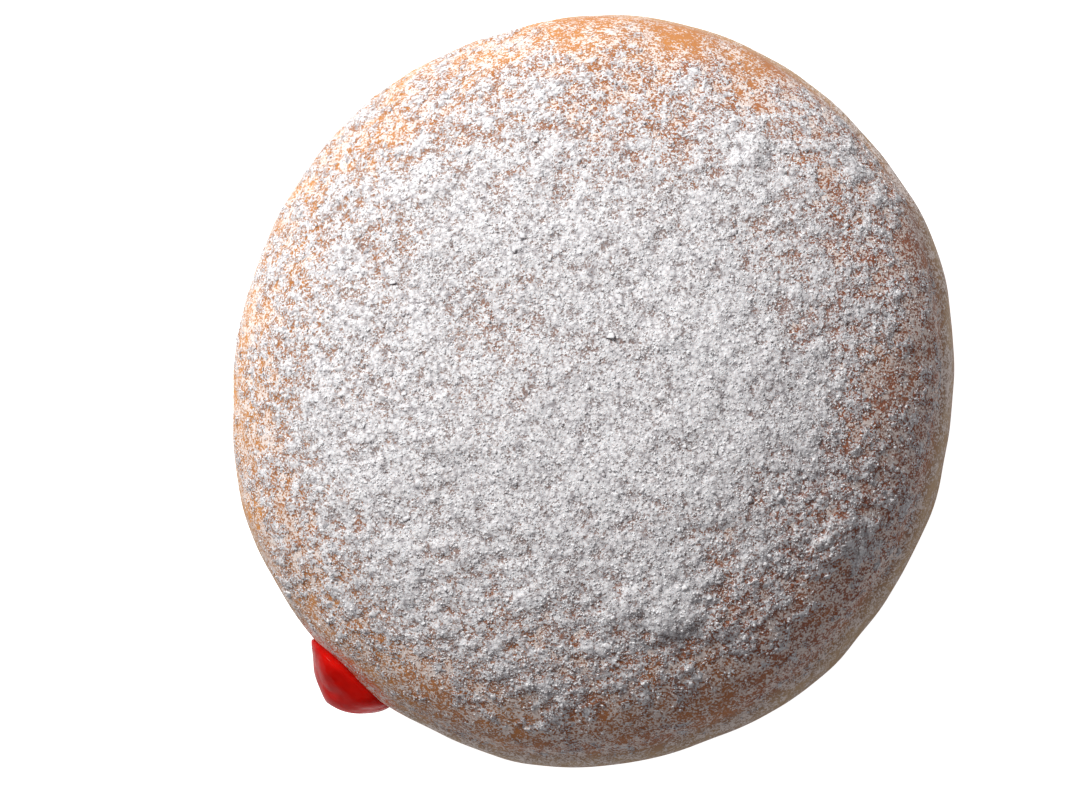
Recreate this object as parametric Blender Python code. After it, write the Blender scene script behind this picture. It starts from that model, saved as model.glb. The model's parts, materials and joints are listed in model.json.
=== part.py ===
"""A jam-filled doughnut dusted with powdered sugar, modelled in metres with +Z up.

It has two pieces. The dough is a round, slightly oval bun with a pale belt round its middle, a
flat spot that it rests on, a pocket inside and a filling hole in its side. The jam fills the
pocket, runs out through the hole and ends in a blob against the crust. The origin is on the
resting face, in the middle of the dough's width and depth.
"""

import math
import random

import bmesh
import bpy
from mathutils import Matrix, Vector, noise

MM = 0.001

# Driving sizes of the bun
MEAN_RADIUS = 45.0 * MM
TOTAL_HEIGHT = 40.0 * MM
BELT_HEIGHT = 19.0 * MM
BASE_SINK = 2.5 * MM
ROUNDNESS = 2.4
OUTLINE_LOBES = (
    # waves round the outline, depth, where a crest stands in degrees from +X
    (2, 0.95 * MM, 68.5),
    (4, 0.16 * MM, 31.5),
    (6, 0.15 * MM, 20.8),
)

# The pale belt, where the bun floated in the oil, a little tilted
BELT_HALF_WIDTH = 5.2 * MM
CREASE_DEPTH = 0.55 * MM
CREASE_WIDTH = 1.6 * MM
BELT_TILT = 2.0 * MM
BELT_TILT_TURN = math.radians(-60.0)

# Soft unevenness of the risen dough
SWELL_DEPTH = 0.45 * MM
SWELL_LENGTH = 17.0 * MM
DIMPLE_DEPTH = 0.22 * MM
DIMPLE_LENGTH = 6.0 * MM

# The grid of each cube face that is rounded into the bun
GRID_CUTS = 23

# Jam
JAM_TURN = math.radians(229.4)
HOLE_HEIGHT = 18.5 * MM
HOLE_RADIUS = 3.4 * MM
POCKET_SIZE = (23.0 * MM, 20.0 * MM, 6.2 * MM)
POCKET_HEIGHT = 19.5 * MM
BLOB_WIDTH = 6.45 * MM
BLOB_REACH = 4.5 * MM
BLOB_RISE = 6.2 * MM
BLOB_SAG = 1.2
BLOB_POINTEDNESS = 1.38
BLOB_LEAN = 0.12
BLOB_LUMP_DEPTH = 0.6 * MM
BLOB_LUMP_LENGTH = 4.5 * MM
NECK_PAST_CRUST = 1.6 * MM
NECK_SIDES = 20
GAP = 0.3 * MM

# Lumps of sugar that stand proud of the dusting
LARGE_LUMPS = (
    # distance from the middle, direction in degrees from +X, half width
    (30.3 * MM, 292.5, 2.9 * MM),
    (27.4 * MM, 286.0, 2.1 * MM),
    (36.0 * MM, 329.0, 2.3 * MM),
    (33.4 * MM, 300.5, 1.8 * MM),
    (29.0 * MM, 124.5, 2.2 * MM),
    (43.0 * MM, 129.0, 1.6 * MM),
    (12.5 * MM, 25.0, 1.9 * MM),
    (24.0 * MM, 236.0, 2.0 * MM),
    (17.0 * MM, 205.0, 1.8 * MM),
    (34.0 * MM, 52.0, 2.3 * MM),
)
SMALL_LUMP_COUNT = 18
SMALL_LUMP_HALF_WIDTH = (0.7 * MM, 1.1 * MM)
LUMP_FLATNESS = 0.17
LUMP_STRETCH = 1.25
LUMP_UNEVENNESS = 0.55
LUMP_BUMPS = 1.3
LUMP_FIELD = 0.86
LUMP_SEED = 11


def clear_scene():
    """Empties the scene that the script runs in."""
    for obj in list(bpy.data.objects):
        bpy.data.objects.remove(obj, do_unlink=True)


def new_collection(name):
    """A collection of that name, linked to the scene."""
    made = bpy.data.collections.new(name)
    bpy.context.scene.collection.children.link(made)
    return made


def new_object(name, mesh, collection):
    """An object of that mesh in the collection."""
    made = bpy.data.objects.new(name, mesh)
    collection.objects.link(made)
    return made


def mesh_from(shape, name):
    """A named mesh from a bmesh, which is freed."""
    mesh = bpy.data.meshes.new(name)
    shape.to_mesh(mesh)
    shape.free()
    return mesh


def surface_material(name, colour, roughness, coat=0.0):
    """A Principled material of one colour."""
    made = bpy.data.materials.new(name)
    made.use_nodes = True
    shader = made.node_tree.nodes["Principled BSDF"]
    shader.inputs["Base Color"].default_value = (*colour, 1.0)
    shader.inputs["Roughness"].default_value = roughness
    shader.inputs["Metallic"].default_value = 0.0
    shader.inputs["Coat Weight"].default_value = coat
    return made


def outline_radius(turn):
    """Radius of the bun at its belt, turn radians round from +X."""
    radius = MEAN_RADIUS
    for waves, depth, crest in OUTLINE_LOBES:
        radius += depth * math.cos(waves * (turn - math.radians(crest)))
    return radius


def half_height(above_belt):
    """Height of the bun's upper half, or the depth of its lower half before the base is flattened."""
    return TOTAL_HEIGHT - BELT_HEIGHT if above_belt else BELT_HEIGHT + BASE_SINK


def rounded_share(value):
    """A sine or cosine bent so that a circle becomes the bun's squarer section."""
    return math.copysign(abs(value) ** (2.0 / ROUNDNESS), value)


def crease(above_belt):
    """How deep the crust is pinched at a height above or below the belt's middle."""
    from_edge = (abs(above_belt) - BELT_HALF_WIDTH) / CREASE_WIDTH
    return CREASE_DEPTH * math.exp(-from_edge * from_edge)


def crust_point(direction, grown=0.0):
    """The crust's point for a direction of a unit sphere, moved outwards by grown."""
    turn = math.atan2(direction.y, direction.x)
    across = rounded_share(math.hypot(direction.x, direction.y))
    up = rounded_share(direction.z)
    radius = outline_radius(turn)
    height = half_height(up > 0.0)
    point = Vector(
        (
            radius * across * math.cos(turn),
            radius * across * math.sin(turn),
            height * up,
        )
    )
    outwards = Vector(
        (
            across ** (ROUNDNESS - 1.0) / radius * math.cos(turn),
            across ** (ROUNDNESS - 1.0) / radius * math.sin(turn),
            math.copysign(abs(up) ** (ROUNDNESS - 1.0), up) / height,
        )
    ).normalized()
    crease_here = 0.65 + 0.35 * math.cos(turn - math.radians(-20.0))
    relief = -crease(point.z - BELT_TILT * math.cos(turn - BELT_TILT_TURN)) * crease_here
    relief += SWELL_DEPTH * noise.noise(point / SWELL_LENGTH)
    relief += DIMPLE_DEPTH * noise.noise(point / DIMPLE_LENGTH)
    point += outwards * (relief + grown)
    point.z = max(point.z + BELT_HEIGHT, -grown)
    return point


def crust_shape(grown=0.0):
    """A cube's even grid rounded into the bun, so that its faces are alike all over."""
    shape = bmesh.new()
    bmesh.ops.create_cube(shape, size=2.0)
    bmesh.ops.subdivide_edges(shape, edges=shape.edges, cuts=GRID_CUTS, use_grid_fill=True)
    for vertex in shape.verts:
        spread = Vector(math.tan(share * math.pi / 4.0) for share in vertex.co)
        vertex.co = crust_point(spread.normalized(), grown)
    bmesh.ops.triangulate(shape, faces=shape.faces)
    return shape


def middle_of(shape):
    """The middle of a shape's width and depth."""
    across = [vertex.co.x for vertex in shape.verts]
    along = [vertex.co.y for vertex in shape.verts]
    return Vector(((min(across) + max(across)) / 2.0, (min(along) + max(along)) / 2.0, 0.0))


def dough(collection, material):
    """The fried bun, and how far it was moved to stand over the origin."""
    shape = crust_shape()
    shift = -middle_of(shape)
    bmesh.ops.translate(shape, verts=shape.verts, vec=shift)
    made = new_object("dough", mesh_from(shape, "dough"), collection)
    made.data.materials.append(material)
    return made, shift


def lump(name, collection, place, outwards, spin, half_width, rounds):
    """One long, flattened lump of sugar, half sunk in the crust."""
    shape = bmesh.new()
    bmesh.ops.create_icosphere(shape, subdivisions=rounds, radius=half_width)
    for vertex in shape.verts:
        bump = noise.noise((vertex.co + place) * LUMP_BUMPS / half_width)
        vertex.co *= 1.0 + LUMP_UNEVENNESS * bump
        vertex.co.x *= LUMP_STRETCH
        vertex.co.y /= LUMP_STRETCH
        vertex.co.z *= LUMP_FLATNESS
    turned = outwards.to_track_quat("Z", "Y").to_matrix().to_4x4() @ Matrix.Rotation(spin, 4, "Z")
    shape.transform(Matrix.Translation(place) @ turned)
    return new_object(name, mesh_from(shape, name), collection)


def upper_surface(dough_object, across, turn):
    """The crust's point and normal straight below a place over the bun, or None past its edge."""
    above = Vector((across * math.cos(turn), across * math.sin(turn), 2.0 * TOTAL_HEIGHT))
    hit, place, outwards, _ = dough_object.ray_cast(above, Vector((0.0, 0.0, -1.0)))
    return (place, outwards) if hit else None


def sugar_lumps(collection, dough_object):
    """The lumps of sugar: the large ones where they lie, and small ones spread by a seeded draw."""
    draw = random.Random(LUMP_SEED)
    wanted = []
    for across, turn, half_width in LARGE_LUMPS:
        wanted.append((across, math.radians(turn), draw.uniform(0.0, math.tau), half_width, 2))
    for _ in range(SMALL_LUMP_COUNT):
        across = MEAN_RADIUS * LUMP_FIELD * math.sqrt(draw.random())
        turn = draw.uniform(0.0, math.tau)
        half_width = draw.uniform(*SMALL_LUMP_HALF_WIDTH)
        wanted.append((across, turn, draw.uniform(0.0, math.tau), half_width, 1))
    for number, (across, turn, spin, half_width, rounds) in enumerate(wanted):
        found = upper_surface(dough_object, across, turn)
        if found:
            lump(f"lump {number}", collection, *found, spin, half_width, rounds)


def pocket_and_neck(name, collection, grown):
    """The space that the jam takes inside the bun: a flat pocket and a neck out to the crust."""
    shape = bmesh.new()
    bmesh.ops.create_icosphere(shape, subdivisions=3, radius=1.0)
    for vertex in shape.verts:
        uneven = 1.0 + 0.08 * noise.noise(vertex.co * 1.7)
        vertex.co = Vector(part * (size * uneven + grown) for part, size in zip(vertex.co, POCKET_SIZE))
    bmesh.ops.translate(shape, verts=shape.verts, vec=(0.0, 0.0, POCKET_HEIGHT))
    pocket = new_object(name, mesh_from(shape, name), collection)

    neck_start = Vector((math.cos(JAM_TURN), math.sin(JAM_TURN), 0.0)) * POCKET_SIZE[1] * 0.6
    neck_start.z = POCKET_HEIGHT
    outwards = Vector((math.cos(JAM_TURN), math.sin(JAM_TURN), 0.0))
    neck_end = outwards * (outline_radius(JAM_TURN) + NECK_PAST_CRUST + 4.0 * grown)
    neck_end.z = HOLE_HEIGHT
    along = neck_end - neck_start
    shape = bmesh.new()
    bmesh.ops.create_cone(
        shape,
        cap_ends=True,
        segments=NECK_SIDES,
        radius1=HOLE_RADIUS + grown,
        radius2=HOLE_RADIUS + grown,
        depth=along.length,
    )
    turned = along.to_track_quat("Z", "Y").to_matrix().to_4x4()
    shape.transform(Matrix.Translation((neck_start + neck_end) / 2.0) @ turned)
    neck = new_object(f"{name} neck", mesh_from(shape, f"{name} neck"), collection)
    return pocket, neck


def hide_helper(helper):
    """Keeps a cutter or a joined shape out of the model."""
    helper.hide_render = True
    helper.display_type = "WIRE"


def boolean(target, other, operation):
    """Cuts or joins another mesh with a live EXACT Boolean."""
    made = target.modifiers.new(f"{operation.lower()} {other.name}", "BOOLEAN")
    made.operation = operation
    made.solver = "EXACT"
    made.object = other


def fuse_collection(target, collection):
    """Joins every object of a collection to the target, and removes them."""
    joined = target.modifiers.new("fused lumps", "BOOLEAN")
    joined.operation = "UNION"
    joined.solver = "EXACT"
    joined.operand_type = "COLLECTION"
    joined.collection = collection
    bpy.context.view_layer.update()
    graph = bpy.context.evaluated_depsgraph_get()
    fused = bpy.data.meshes.new_from_object(target.evaluated_get(graph))
    target.modifiers.clear()
    target.data = fused
    for obj in list(collection.objects):
        bpy.data.objects.remove(obj, do_unlink=True)
    bpy.data.collections.remove(collection)


def blob_point(direction):
    """A point of the blob about its own middle: X runs round the bun, Y out from it and Z up."""
    bend = 2.0 / (BLOB_POINTEDNESS - BLOB_LEAN * direction.x)
    drawn_in = math.hypot(direction.x, direction.z) ** (bend - 1.0)
    lumpy = Vector(
        (
            direction.x * drawn_in * BLOB_WIDTH,
            math.copysign(abs(direction.y) ** bend, direction.y) * BLOB_REACH,
            direction.z * drawn_in * BLOB_RISE * (BLOB_SAG if direction.z < 0.0 else 1.0),
        )
    )
    push = BLOB_LUMP_DEPTH * noise.noise(lumpy / BLOB_LUMP_LENGTH + Vector((3.1, 0.4, 7.7)))
    return lumpy + direction * push


def jam(collection, material, shift):
    """The blob outside the hole, before it is trimmed against the crust."""
    shape = bmesh.new()
    bmesh.ops.create_icosphere(shape, subdivisions=4, radius=1.0)
    for vertex in shape.verts:
        vertex.co = blob_point(vertex.co.normalized())
    middle = Vector((math.cos(JAM_TURN), math.sin(JAM_TURN), 0.0)) * (outline_radius(JAM_TURN) - GAP)
    middle.z = HOLE_HEIGHT
    facing = Matrix.Rotation(JAM_TURN - math.pi / 2.0, 4, "Z")
    shape.transform(Matrix.Translation(middle + shift) @ facing)
    made = new_object("jam", mesh_from(shape, "jam"), collection)
    made.data.materials.append(material)
    return made


def shade(obj):
    """Smooth shading with creases kept sharp."""
    obj.data.shade_smooth()
    obj.data.set_sharp_from_angle(angle=math.radians(35.0))


def main():
    """Builds the doughnut."""
    clear_scene()
    parts = new_collection("jam doughnut")
    helpers = new_collection("helpers")
    lumps = new_collection("sugar lumps")

    crust_finish = surface_material("fried crust under sugar", (0.62, 0.47, 0.38), 0.85)
    jam_finish = surface_material("red jam", (0.50, 0.008, 0.006), 0.12, coat=0.5)

    bun, shift = dough(parts, crust_finish)
    sugar_lumps(lumps, bun)
    fuse_collection(bun, lumps)
    blob = jam(parts, jam_finish, shift)

    clearance = crust_shape(grown=GAP)
    bmesh.ops.translate(clearance, verts=clearance.verts, vec=shift)
    bun_clearance = new_object("bun clearance", mesh_from(clearance, "bun clearance"), helpers)
    fillings = pocket_and_neck("filling", helpers, 0.0)
    hollows = pocket_and_neck("filling space", helpers, GAP)

    for helper in (bun_clearance, *fillings, *hollows):
        hide_helper(helper)
    for hollow in hollows:
        boolean(bun, hollow, "DIFFERENCE")
    boolean(blob, bun_clearance, "DIFFERENCE")
    for filling in fillings:
        boolean(blob, filling, "UNION")
    shade(bun)
    shade(blob)


main()
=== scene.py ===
# %% [markdown]
# A jam doughnut dusted with powdered sugar, seen from above as in the photograph.
# The real one is a round of yeast dough that was fried on one side and then on the other, so it has
# two brown domes and a pale belt between them where it floated. It was filled with jam through a
# hole in its side, and powdered sugar was sieved over its top.
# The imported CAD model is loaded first. It says how large every piece is and where it lies.

# %% Load the frame
import json
import math
import random

import bmesh
import bpy
from mathutils import Matrix, Vector, noise

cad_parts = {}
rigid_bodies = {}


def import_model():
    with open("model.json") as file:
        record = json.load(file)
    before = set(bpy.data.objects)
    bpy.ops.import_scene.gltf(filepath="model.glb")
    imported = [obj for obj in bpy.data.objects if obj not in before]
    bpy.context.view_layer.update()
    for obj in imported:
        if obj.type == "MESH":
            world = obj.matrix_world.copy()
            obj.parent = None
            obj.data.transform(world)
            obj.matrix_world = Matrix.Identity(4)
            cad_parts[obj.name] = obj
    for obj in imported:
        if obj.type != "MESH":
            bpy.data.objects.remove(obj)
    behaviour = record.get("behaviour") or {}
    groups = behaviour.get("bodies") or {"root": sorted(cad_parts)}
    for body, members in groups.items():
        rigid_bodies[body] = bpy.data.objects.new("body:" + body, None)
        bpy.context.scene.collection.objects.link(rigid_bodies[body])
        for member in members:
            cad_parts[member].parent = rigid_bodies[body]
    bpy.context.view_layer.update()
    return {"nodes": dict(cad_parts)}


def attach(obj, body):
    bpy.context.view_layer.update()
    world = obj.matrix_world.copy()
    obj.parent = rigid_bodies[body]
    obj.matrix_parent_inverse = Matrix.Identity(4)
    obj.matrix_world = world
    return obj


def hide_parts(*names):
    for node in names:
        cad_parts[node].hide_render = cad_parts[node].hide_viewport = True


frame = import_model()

MM = 0.001
print("CAD nodes:", sorted(frame["nodes"]))

# %% [markdown]
# A few small helpers serve the whole lesson.
# Colours are written as sRGB hex values, as a colour picker gives them, but Blender calculates with
# linear light, so the first function turns the one into the other.
# Materials and Geometry Nodes are both trees of nodes. One function adds a node to either, sets its
# properties and socket values, and links its inputs. Another lets a pattern raise and lower a level,
# which is how noise makes heaps and patches here. A third starts a material.
# Many places are given by a direction round the bun, so one function turns an angle into a vector.
# The last two put things into the scene. A mesh starts as a bmesh, the form that Python can edit
# freely.

# %% Helpers
def linear(hex_colour):
    """The linear RGBA colour of an sRGB hex value."""
    channels = [int(hex_colour[start:start + 2], 16) / 255.0 for start in (1, 3, 5)]
    return (*(c / 12.92 if c <= 0.04045 else ((c + 0.055) / 1.055) ** 2.4 for c in channels), 1.0)


def add_node(tree, kind, inputs=None, **settings):
    """A new node with its properties set. Each input is linked to an output or given a value."""
    node = tree.nodes.new(kind)
    for name, value in settings.items():
        setattr(node, name, value)
    for socket, given in (inputs or {}).items():
        if isinstance(given, bpy.types.NodeSocket):
            tree.links.new(given, node.inputs[socket])
        else:
            node.inputs[socket].default_value = given
    return node


def varied(tree, level, pattern, strength):
    """A level, as an output, raised and lowered by a pattern whose middle is one half."""
    centred = add_node(tree, "ShaderNodeMath", {0: pattern, 1: 0.5}, operation="SUBTRACT")
    return add_node(
        tree,
        "ShaderNodeMath",
        {0: centred.outputs[0], 1: strength, 2: level},
        operation="MULTIPLY_ADD",
    ).outputs[0]


def new_material(name, values):
    """A material whose shader has these input values."""
    material = bpy.data.materials.new(name)
    material.use_nodes = True
    shader = material.node_tree.nodes["Principled BSDF"]
    for socket, value in values.items():
        shader.inputs[socket].default_value = value
    return material


def level_way(turn):
    """The level direction that lies turn radians round from +X."""
    return Vector((math.cos(turn), math.sin(turn), 0.0))


def add_object(name, data):
    """An object in the scene from a mesh, a camera or a lamp."""
    made = bpy.data.objects.new(name, data)
    bpy.context.scene.collection.objects.link(made)
    return made


def object_from(shape, name):
    """A smooth-shaded object from a bmesh, which is freed."""
    mesh = bpy.data.meshes.new(name)
    shape.to_mesh(mesh)
    shape.free()
    mesh.shade_smooth()
    return add_object(name, mesh)


# %% [markdown]
# The camera comes before the pieces.
# The doughnut was photographed from almost straight above with a long lens, so its outline is nearly
# the true plan. A little of the pale belt shows at the lower right, which means that the camera stood
# about 8 degrees off the vertical on that side.
# Its distance is worked out from the lens and from how many pixels a metre covers in the photograph.

# %% Camera
PHOTO_WIDTH = 1080
PHOTO_HEIGHT = 790
PIXELS_PER_METRE = 8.2 / MM
BUN_MIDDLE_IN_PHOTO = (591.1, 390.1)
BELT_HEIGHT = 19.0 * MM
SENSOR_WIDTH = 36.0
LENS = 150.0
CAMERA_TILT = math.radians(8.0)
CAMERA_TILT_TOWARDS = math.radians(-23.3)


def turned_axes(backwards):
    """Right and up of a camera that looks against that direction, with +Y up in its picture."""
    right = Vector((0.0, 1.0, 0.0)).cross(backwards).normalized()
    return right, backwards.cross(right)


def add_camera():
    """The camera of the photograph."""
    backwards = level_way(CAMERA_TILT_TOWARDS) * math.sin(CAMERA_TILT)
    backwards.z = math.cos(CAMERA_TILT)
    right, up = turned_axes(backwards)
    off_right = (BUN_MIDDLE_IN_PHOTO[0] - PHOTO_WIDTH / 2.0) / PIXELS_PER_METRE
    off_up = (PHOTO_HEIGHT / 2.0 - BUN_MIDDLE_IN_PHOTO[1]) / PIXELS_PER_METRE
    aim = Vector((0.0, 0.0, BELT_HEIGHT)) - right * off_right - up * off_up
    distance = LENS / SENSOR_WIDTH * PHOTO_WIDTH / PIXELS_PER_METRE

    data = bpy.data.cameras.new("photograph camera")
    data.lens = LENS
    data.sensor_fit = "HORIZONTAL"
    data.sensor_width = SENSOR_WIDTH
    data.clip_start = 10.0 * MM
    camera = add_object("photograph camera", data)
    turned = Matrix((right, up, backwards)).transposed().to_4x4()
    camera.matrix_world = Matrix.Translation(aim + backwards * distance) @ turned
    bpy.context.scene.camera = camera
    return distance


print("camera distance", round(add_camera(), 3), "m")

# %% [markdown]
# The light in the photograph is a soft lamp at the upper left, about 40 degrees up: the rim at the
# upper left is the brightest place and the lower right lies in the bun's own shade.
# A disc lamp a quarter of a metre wide gives the same soft shadow edges. The world around gives the
# even fill that keeps the shaded side readable.
# The table under the bun glows, which makes it as white as in the picture. Light linking lets that
# glow fall on nothing but the table, or else it would light the bun from below.
# The standard view transform keeps white sugar white. The filmic ones would grey it.

# %% Light and floor
KEY_TURN = math.radians(124.0)
KEY_RISE = math.radians(41.0)
KEY_DISTANCE = 0.8
KEY_WIDTH = 0.26
KEY_WATTS = 7.45
FILL_COLOUR = "#f4f1f6"
FILL_STRENGTH = 0.2
FLOOR_COLOUR = "#ececec"
FLOOR_GLOW_COLOUR = "#ffffff"
FLOOR_GLOW = 1.0
FLOOR_SIZE = 3.0


def add_key_light():
    """The soft lamp at the upper left."""
    towards = level_way(KEY_TURN) * math.cos(KEY_RISE)
    towards.z = math.sin(KEY_RISE)
    data = bpy.data.lights.new("key lamp", "AREA")
    data.shape = "DISK"
    data.size = KEY_WIDTH
    data.energy = KEY_WATTS
    lamp = add_object("key lamp", data)
    lamp.location = towards * KEY_DISTANCE + Vector((0.0, 0.0, BELT_HEIGHT))
    lamp.rotation_euler = towards.to_track_quat("Z", "Y").to_euler()


def add_fill_light():
    """The even light of a white room."""
    world = bpy.data.worlds.new("white room")
    bpy.context.scene.world = world
    world.use_nodes = True
    background = world.node_tree.nodes["Background"]
    background.inputs["Color"].default_value = linear(FILL_COLOUR)
    background.inputs["Strength"].default_value = FILL_STRENGTH


def add_floor():
    """A pale lit table top, which is near white in the picture."""
    shape = bmesh.new()
    bmesh.ops.create_grid(shape, x_segments=1, y_segments=1, size=FLOOR_SIZE / 2.0)
    floor = object_from(shape, "floor")
    paint = new_material(
        "lit white table",
        {
            "Base Color": linear(FLOOR_COLOUR),
            "Roughness": 0.9,
            "Specular IOR Level": 0.1,
            "Emission Color": linear(FLOOR_GLOW_COLOUR),
            "Emission Strength": FLOOR_GLOW,
        },
    )
    floor.data.materials.append(paint)
    glow_falls_on = bpy.data.collections.new("lit by the table's glow")
    glow_falls_on.objects.link(floor)
    floor.light_linking.receiver_collection = glow_falls_on


add_key_light()
add_fill_light()
add_floor()
bpy.context.scene.view_settings.view_transform = "Standard"

# %% [markdown]
# The bun is a squashed ball, but not an ellipsoid: dough that swells in hot oil has a flatter top and
# a fuller shoulder. A superellipse does that. Its exponent is 2 for an ellipse and a little more for
# this fuller section.
# The same rule as in the CAD model is used here, so the finished crust lies exactly on the solid that
# it replaces: the slightly oval outline, the crease on each side of the belt and the soft unevenness
# of risen dough.

# %% The form of the bun
MEAN_RADIUS = 45.0 * MM
TOTAL_HEIGHT = 40.0 * MM
BASE_SINK = 2.5 * MM
ROUNDNESS = 2.4
OUTLINE_LOBES = (
    # waves round the outline, depth, where a crest stands in degrees from +X
    (2, 0.95 * MM, 68.5),
    (4, 0.16 * MM, 31.5),
    (6, 0.15 * MM, 20.8),
)
BELT_HALF_WIDTH = 5.2 * MM
CREASE_DEPTH = 0.55 * MM
CREASE_WIDTH = 1.6 * MM
CREASE_DEEPEST_TURN = math.radians(-20.0)
CREASE_EVEN_SHARE = 0.65
CREASE_VARYING_SHARE = 0.35
BELT_TILT = 2.0 * MM
BELT_TILT_TURN = math.radians(-60.0)
SWELL_DEPTH = 0.45 * MM
SWELL_LENGTH = 17.0 * MM
DIMPLE_DEPTH = 0.22 * MM
DIMPLE_LENGTH = 6.0 * MM


def outline_radius(turn):
    """Radius of the bun at its belt, turn radians round from +X."""
    radius = MEAN_RADIUS
    for waves, depth, crest in OUTLINE_LOBES:
        radius += depth * math.cos(waves * (turn - math.radians(crest)))
    return radius


def rounded_share(value):
    """A sine or cosine bent so that a circle becomes the bun's squarer section."""
    return math.copysign(abs(value) ** (2.0 / ROUNDNESS), value)


def crease(above_belt):
    """How deep the crust is pinched at a height above or below the belt's middle."""
    from_edge = (abs(above_belt) - BELT_HALF_WIDTH) / CREASE_WIDTH
    return CREASE_DEPTH * math.exp(-from_edge * from_edge)


def crust_point(direction, grown=0.0):
    """The crust's point for a direction of a unit sphere, moved outwards by grown."""
    turn = math.atan2(direction.y, direction.x)
    across = rounded_share(math.hypot(direction.x, direction.y))
    up = rounded_share(direction.z)
    radius = outline_radius(turn)
    height = TOTAL_HEIGHT - BELT_HEIGHT if up > 0.0 else BELT_HEIGHT + BASE_SINK
    round_way = level_way(turn)
    point = round_way * radius * across
    point.z = height * up
    outwards = round_way * across ** (ROUNDNESS - 1.0) / radius
    outwards.z = math.copysign(abs(up) ** (ROUNDNESS - 1.0), up) / height
    outwards.normalize()
    tilt = BELT_TILT * math.cos(turn - BELT_TILT_TURN)
    varying = CREASE_VARYING_SHARE * math.cos(turn - CREASE_DEEPEST_TURN)
    relief = -crease(point.z - tilt) * (CREASE_EVEN_SHARE + varying)
    relief += SWELL_DEPTH * noise.noise(point / SWELL_LENGTH)
    relief += DIMPLE_DEPTH * noise.noise(point / DIMPLE_LENGTH)
    point += outwards * (relief + grown)
    point.z = max(point.z + BELT_HEIGHT, -grown)
    return point


print("belt radius towards +X", round(outline_radius(0.0) / MM, 1), "mm")

# %% [markdown]
# A sphere of rings and segments has crowded faces at its poles, right in the middle of the picture.
# A cube whose faces are divided into an even grid and then pushed out onto the bun has faces that are
# alike all over. Before each grid point is pushed out, its place is spread by a tangent, because an
# even grid on a cube would crowd towards the cube's corners.

# %% The crust's mesh
CRUST_CUTS = 119
COARSE_CUTS = 47


def crust_shape(cuts, grown=0.0):
    """A cube's even grid rounded into the bun."""
    shape = bmesh.new()
    bmesh.ops.create_cube(shape, size=2.0)
    bmesh.ops.subdivide_edges(shape, edges=shape.edges, cuts=cuts, use_grid_fill=True)
    for vertex in shape.verts:
        spread = Vector(math.tan(share * math.pi / 4.0) for share in vertex.co)
        vertex.co = crust_point(spread.normalized(), grown)
    return shape


def middle_of(shape):
    """The middle of a shape's width and depth."""
    across = [vertex.co.x for vertex in shape.verts]
    along = [vertex.co.y for vertex in shape.verts]
    return Vector(((min(across) + max(across)) / 2.0, (min(along) + max(along)) / 2.0, 0.0))


crust_mesh = crust_shape(CRUST_CUTS)
to_origin = -middle_of(crust_mesh)
bmesh.ops.translate(crust_mesh, verts=crust_mesh.verts, vec=to_origin)
crust = object_from(crust_mesh, "crust")
print("crust:", len(crust.data.polygons) * 2, "triangles, moved by", to_origin / MM, "mm")

# %% [markdown]
# The baker pushed a nozzle into the side of the bun and pumped jam in, so there is a round hole in
# the belt and a flat pocket of jam inside, both as in the CAD model.
# A Boolean modifier cuts them out of the crust. Its result is taken as a plain mesh, because the
# cutter is deleted afterwards.

# %% Cut the hole and the pocket
JAM_TURN = math.radians(229.4)
HOLE_HEIGHT = 18.5 * MM
HOLE_RADIUS = 3.4 * MM
POCKET_SIZE = (23.0 * MM, 20.0 * MM, 6.2 * MM)
POCKET_HEIGHT = 19.5 * MM
POCKET_UNEVENNESS = 0.08
POCKET_BUMPS = 1.7
NECK_START_SHARE = 0.6
NECK_PAST_CRUST = 1.6 * MM
NECK_SIDES = 48
GAP = 0.3 * MM
SHARP_EDGE = math.radians(40.0)


def pocket(grown):
    """The flat uneven space inside the bun."""
    shape = bmesh.new()
    bmesh.ops.create_icosphere(shape, subdivisions=5, radius=1.0)
    for vertex in shape.verts:
        uneven = 1.0 + POCKET_UNEVENNESS * noise.noise(vertex.co * POCKET_BUMPS)
        vertex.co = Vector(part * (size * uneven + grown) for part, size in zip(vertex.co, POCKET_SIZE))
    bmesh.ops.translate(shape, verts=shape.verts, vec=(0.0, 0.0, POCKET_HEIGHT))
    return object_from(shape, "pocket")


def neck(grown):
    """The straight way from the pocket out through the crust."""
    outwards = level_way(JAM_TURN)
    start = outwards * POCKET_SIZE[1] * NECK_START_SHARE
    start.z = POCKET_HEIGHT
    end = outwards * (outline_radius(JAM_TURN) + NECK_PAST_CRUST + 4.0 * grown)
    end.z = HOLE_HEIGHT
    shape = bmesh.new()
    bmesh.ops.create_cone(
        shape,
        cap_ends=True,
        segments=NECK_SIDES,
        radius1=HOLE_RADIUS + grown,
        radius2=HOLE_RADIUS + grown,
        depth=(end - start).length,
    )
    turned = (end - start).to_track_quat("Z", "Y").to_matrix().to_4x4()
    shape.transform(Matrix.Translation((start + end) / 2.0) @ turned)
    return object_from(shape, "neck")


def boolean(target, other, operation):
    """Cuts or joins another object for good, and deletes it."""
    modifier = target.modifiers.new(operation, "BOOLEAN")
    modifier.operation = operation
    modifier.solver = "EXACT"
    modifier.object = other
    evaluated = target.evaluated_get(bpy.context.evaluated_depsgraph_get())
    made = bpy.data.meshes.new_from_object(evaluated)
    target.modifiers.clear()
    target.data = made
    bpy.data.objects.remove(other)


boolean(crust, pocket(GAP), "DIFFERENCE")
boolean(crust, neck(GAP), "DIFFERENCE")
crust.data.set_sharp_from_angle(angle=SHARP_EDGE)
print("crust after the cut:", len(crust.data.polygons), "faces")

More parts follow.
